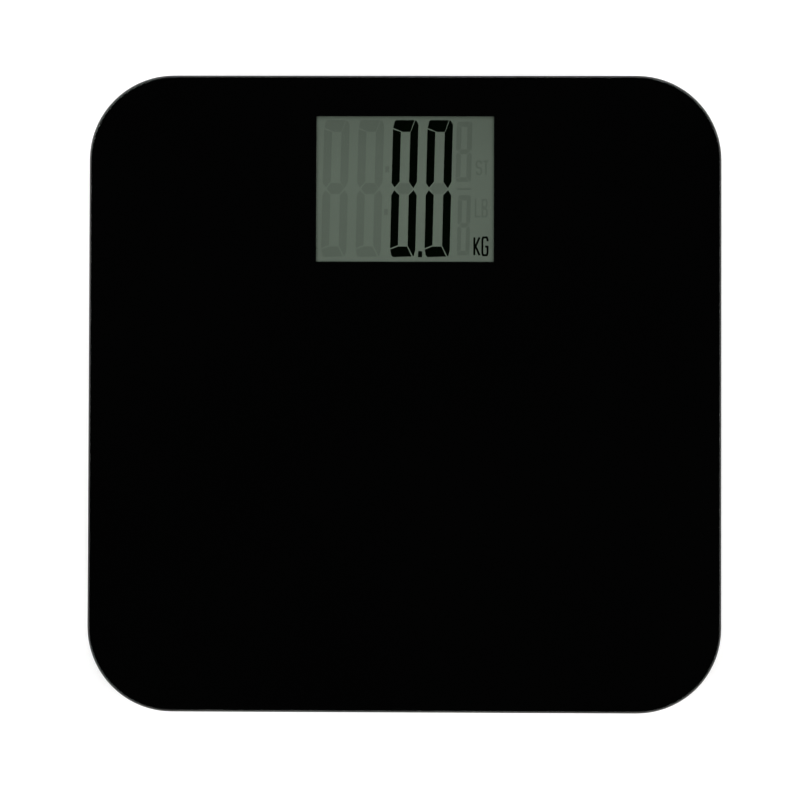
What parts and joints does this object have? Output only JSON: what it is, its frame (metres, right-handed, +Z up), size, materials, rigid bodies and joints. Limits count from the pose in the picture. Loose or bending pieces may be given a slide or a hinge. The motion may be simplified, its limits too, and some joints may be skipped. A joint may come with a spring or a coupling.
{
  "type": "digital bathroom scale",
  "caption": "Flat square digital bathroom scale: black-backed glass platform with rounded corners and an LCD window near the rear edge, on a thin tray with load-cell feet.",
  "frame": {"origin": "on the floor, under the middle of the platform", "axes": "+X to the right, +Y towards the display end, +Z up"},
  "size_m": [0.3, 0.302, 0.024],
  "materials": {
    "clear_glass": "polished",
    "black_print": "satin",
    "grey_foam": "matte",
    "black_abs": "fine texture",
    "label_foil": "satin",
    "black_foam": "matte",
    "polarizer_film": "satin",
    "display_glass": "polished",
    "reflector_film": "satin",
    "white_abs": "satin",
    "grey_silicone": "matte",
    "circuit_board": "semi gloss",
    "black_epoxy": "semi gloss",
    "chip_ceramic": "matte",
    "nickel_can": "satin",
    "zinc_steel": "plated",
    "switch_plastic": "satin",
    "switch_white": "satin",
    "button_abs": "satin",
    "spring_steel": "nickel plated",
    "cell_steel": "satin",
    "cell_gasket": "satin",
    "lead_insulation": "satin",
    "foot_abs": "satin",
    "pad_rubber": "matte",
    "cell_plate": "nickel plated",
    "gauge_gel": "glossy"
  },
  "bodies": {
    "base": {"glass_platform": "clear_glass", "black_back_print": "black_print", "mounting_tape": "grey_foam", "base_tray": "black_abs", "rating_label": "label_foil", "window_gasket": "black_foam", "lcd_front_polarizer": "polarizer_film", "lcd_glass_cell": "display_glass", "lcd_reflector": "reflector_film", "lcd_holder": "white_abs", "zebra_strips": "grey_silicone", "main_board": "circuit_board", "chip_glob": "black_epoxy", "board_parts": "chip_ceramic", "quartz_crystal": "nickel_can", "board_screws": "zinc_steel", "button_switch": "switch_plastic", "negative_contact": "spring_steel", "positive_contact": "spring_steel", "coin_cell_can": "cell_steel", "coin_cell_gasket": "cell_gasket", "coin_cell_cap": "cell_steel", "battery_leads": "lead_insulation", "bracket_screws": "zinc_steel", "load_cell_front_left": "cell_plate", "strain_gauge_front_left": "gauge_gel", "cell_bracket_front_left": "white_abs", "cell_leads_front_left": "lead_insulation", "load_cell_front_right": "cell_plate", "strain_gauge_front_right": "gauge_gel", "cell_bracket_front_right": "white_abs", "cell_leads_front_right": "lead_insulation", "load_cell_rear_left": "cell_plate", "strain_gauge_rear_left": "gauge_gel", "cell_bracket_rear_left": "white_abs", "cell_leads_rear_left": "lead_insulation", "load_cell_rear_right": "cell_plate", "strain_gauge_rear_right": "gauge_gel", "cell_bracket_rear_right": "white_abs", "cell_leads_rear_right": "lead_insulation"},
    "foot_front_left": {"foot_front_left": "foot_abs", "foot_pad_front_left": "pad_rubber"},
    "foot_front_right": {"foot_front_right": "foot_abs", "foot_pad_front_right": "pad_rubber"},
    "foot_rear_left": {"foot_rear_left": "foot_abs", "foot_pad_rear_left": "pad_rubber"},
    "foot_rear_right": {"foot_rear_right": "foot_abs", "foot_pad_rear_right": "pad_rubber"},
    "unit_button": {"unit_button": "button_abs", "switch_plunger": "switch_white"},
    "battery_door": {"battery_door": "black_abs"},
    "door_screw": {"door_screw": "zinc_steel"}
  },
  "joints": [
    {"name": "foot_press_front_left", "type": "slide", "parent": "base", "child": "foot_front_left", "axis": [0, 0, 1], "range_m": [0, 0.0005], "stiffness_N_per_m": 1500, "springref_m": -0.006, "deforming": ["load_cell_front_left"]},
    {"name": "foot_press_front_right", "type": "slide", "parent": "base", "child": "foot_front_right", "axis": [0, 0, 1], "range_m": [0, 0.0005], "stiffness_N_per_m": 1500, "springref_m": -0.006, "deforming": ["load_cell_front_right"]},
    {"name": "foot_press_rear_left", "type": "slide", "parent": "base", "child": "foot_rear_left", "axis": [0, 0, 1], "range_m": [0, 0.0005], "stiffness_N_per_m": 1500, "springref_m": -0.006, "deforming": ["load_cell_rear_left"]},
    {"name": "foot_press_rear_right", "type": "slide", "parent": "base", "child": "foot_rear_right", "axis": [0, 0, 1], "range_m": [0, 0.0005], "stiffness_N_per_m": 1500, "springref_m": -0.006, "deforming": ["load_cell_rear_right"]},
    {"name": "unit_button_press", "type": "slide", "parent": "base", "child": "unit_button", "axis": [0, 0, 1], "range_m": [0, 0.0004], "stiffness_N_per_m": 400, "springref_m": -0.001},
    {"name": "battery_door_hinge", "type": "hinge", "parent": "base", "child": "battery_door", "pos_m": [0, 0.022, 0.0066], "axis": [1, 0, 0], "range_deg": [0, 90]},
    {"name": "door_screw_turn", "type": "hinge", "parent": "battery_door", "child": "door_screw", "pos_m": [0, -0.008, 0.0075], "axis": [0, 0, 1], "continuous": true}
  ]
}
